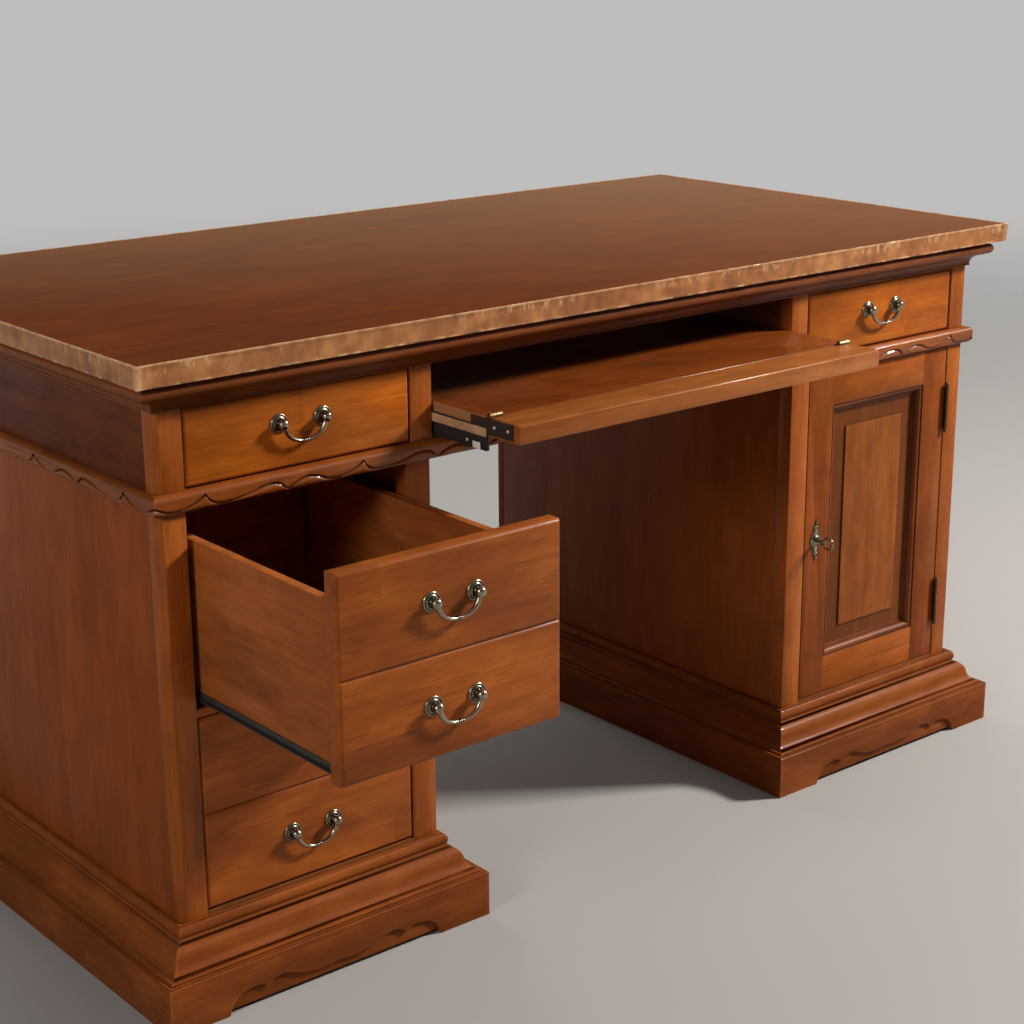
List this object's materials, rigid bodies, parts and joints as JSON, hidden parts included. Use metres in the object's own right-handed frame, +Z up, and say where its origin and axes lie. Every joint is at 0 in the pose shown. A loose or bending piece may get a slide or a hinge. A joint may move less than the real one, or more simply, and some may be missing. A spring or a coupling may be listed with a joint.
{
  "type": "partners desk",
  "caption": "Wooden pedestal desk with a moulded top, frieze and file drawers on drop handles, a pull-out tray with a folding flap, and a cupboard with a key.",
  "frame": {"origin": "on the floor, at the middle of the object at rest, with the file drawer and the tray open", "axes": "+X along the front to the sitter's right, +Y to the back, +Z up"},
  "size_m": [1.427, 0.981, 0.76],
  "materials": {
    "stained_wood": "stained, satin varnish",
    "polished_top": "high gloss varnish",
    "edge_band": "mottled tan band",
    "drawer_wood": "satin varnish",
    "inside_wood": "plain, matt",
    "antique_metal": "antique, worn",
    "brass": "polished",
    "black_steel": "satin black"
  },
  "bodies": {
    "carcass": {"desk_top": "polished_top", "top_edge_band": "edge_band", "cornice": "stained_wood", "corner_posts": "stained_wood", "inner_posts": "stained_wood", "frieze_sides": "stained_wood", "frieze_partitions": "inside_wood", "frieze_back": "stained_wood", "waist_moulding": "stained_wood", "dust_boards": "inside_wood", "pedestal_outer_sides": "stained_wood", "pedestal_inner_sides": "stained_wood", "pedestal_stiles": "stained_wood", "pedestal_backs": "stained_wood", "pedestal_floors": "inside_wood", "drawer_rail": "stained_wood", "left_plinth": "stained_wood", "right_plinth": "stained_wood", "file_drawer_rails": "black_steel", "rail_battens": "inside_wood", "tray_rails": "black_steel", "door_hinge_fixed": "antique_metal"},
    "left_drawer": {"left_drawer_front": "stained_wood", "left_drawer_box": "drawer_wood", "left_drawer_bottom": "drawer_wood", "left_drawer_handle_posts": "antique_metal"},
    "left_bail": {"left_drawer_bail": "antique_metal"},
    "right_drawer": {"right_drawer_front": "stained_wood", "right_drawer_box": "drawer_wood", "right_drawer_bottom": "drawer_wood", "right_drawer_handle_posts": "antique_metal"},
    "right_bail": {"right_drawer_bail": "antique_metal"},
    "lower_file": {"lower_file_front": "stained_wood", "lower_file_box": "drawer_wood", "lower_file_bottom": "drawer_wood", "lower_file_slides": "black_steel", "lower_file_handle_posts": "antique_metal"},
    "lower_file_lower_bail": {"lower_file_lower_bail": "antique_metal"},
    "lower_file_upper_bail": {"lower_file_upper_bail": "antique_metal"},
    "upper_file": {"upper_file_front": "stained_wood", "upper_file_box": "drawer_wood", "upper_file_bottom": "drawer_wood", "upper_file_slides": "black_steel", "upper_file_handle_posts": "antique_metal"},
    "upper_file_lower_bail": {"upper_file_lower_bail": "antique_metal"},
    "upper_file_upper_bail": {"upper_file_upper_bail": "antique_metal"},
    "tray": {"tray_board": "stained_wood", "tray_slides": "black_steel", "tray_end_brackets": "black_steel", "flap_hinges": "brass"},
    "flap": {"tray_flap": "stained_wood", "flap_knuckles": "brass"},
    "door": {"door_frame": "stained_wood", "door_panel": "stained_wood", "escutcheon": "antique_metal", "lock_case": "black_steel", "door_hinge_leaves": "antique_metal"},
    "key": {"door_key": "antique_metal"},
    "bolt": {"lock_bolt": "antique_metal"}
  },
  "joints": [
    {"name": "left_drawer_slide", "type": "slide", "parent": "carcass", "child": "left_drawer", "axis": [0, -1, 0], "range_m": [0, 0.28]},
    {"name": "left_bail_swing", "type": "hinge", "parent": "left_drawer", "child": "left_bail", "pos_m": [-0.483, -0.2085, 0.664], "axis": [-1, 0, 0], "range_deg": [-15, 85]},
    {"name": "right_drawer_slide", "type": "slide", "parent": "carcass", "child": "right_drawer", "axis": [0, -1, 0], "range_m": [0, 0.28]},
    {"name": "right_bail_swing", "type": "hinge", "parent": "right_drawer", "child": "right_bail", "pos_m": [0.483, -0.2085, 0.664], "axis": [-1, 0, 0], "range_deg": [-15, 85]},
    {"name": "lower_file_slide", "type": "slide", "parent": "carcass", "child": "lower_file", "axis": [0, -1, 0], "range_m": [0, 0.36]},
    {"name": "lower_file_lower_bail_swing", "type": "hinge", "parent": "lower_file", "child": "lower_file_lower_bail", "pos_m": [-0.4875, -0.2085, 0.17537], "axis": [-1, 0, 0], "range_deg": [-15, 85]},
    {"name": "lower_file_upper_bail_swing", "type": "hinge", "parent": "lower_file", "child": "lower_file_upper_bail", "pos_m": [-0.4875, -0.2085, 0.29212], "axis": [-1, 0, 0], "range_deg": [-15, 85]},
    {"name": "upper_file_slide", "type": "slide", "parent": "carcass", "child": "upper_file", "axis": [0, -1, 0], "range_m": [-0.277, 0.083]},
    {"name": "upper_file_lower_bail_swing", "type": "hinge", "parent": "upper_file", "child": "upper_file_lower_bail", "pos_m": [-0.4875, -0.4855, 0.41962], "axis": [-1, 0, 0], "range_deg": [-15, 85]},
    {"name": "upper_file_upper_bail_swing", "type": "hinge", "parent": "upper_file", "child": "upper_file_upper_bail", "pos_m": [-0.4875, -0.4855, 0.53287], "axis": [-1, 0, 0], "range_deg": [-15, 85]},
    {"name": "tray_slide", "type": "slide", "parent": "carcass", "child": "tray", "axis": [0, -1, 0], "range_m": [-0.15, 0.125]},
    {"name": "flap_fold", "type": "hinge", "parent": "tray", "child": "flap", "pos_m": [0, -0.3008, 0.656], "axis": [-1, 0, 0], "range_deg": [0, 180]},
    {"name": "door_swing", "type": "hinge", "parent": "carcass", "child": "door", "pos_m": [0.6322, -0.2038, 0.35], "axis": [0, 0, 1], "range_deg": [0, 105]},
    {"name": "key_turn", "type": "hinge", "parent": "door", "child": "key", "pos_m": [0.365, -0.1995, 0.34789], "axis": [0, 1, 0], "range_deg": [0, 90]},
    {"name": "bolt_throw", "type": "slide", "parent": "door", "child": "bolt", "axis": [-1, 0, 0], "range_m": [0, 0.008]}
  ],
  "couplings": [
    {"joint": "bolt_throw", "follows": "key_turn", "m_per_rad": 0.00509}
  ]
}
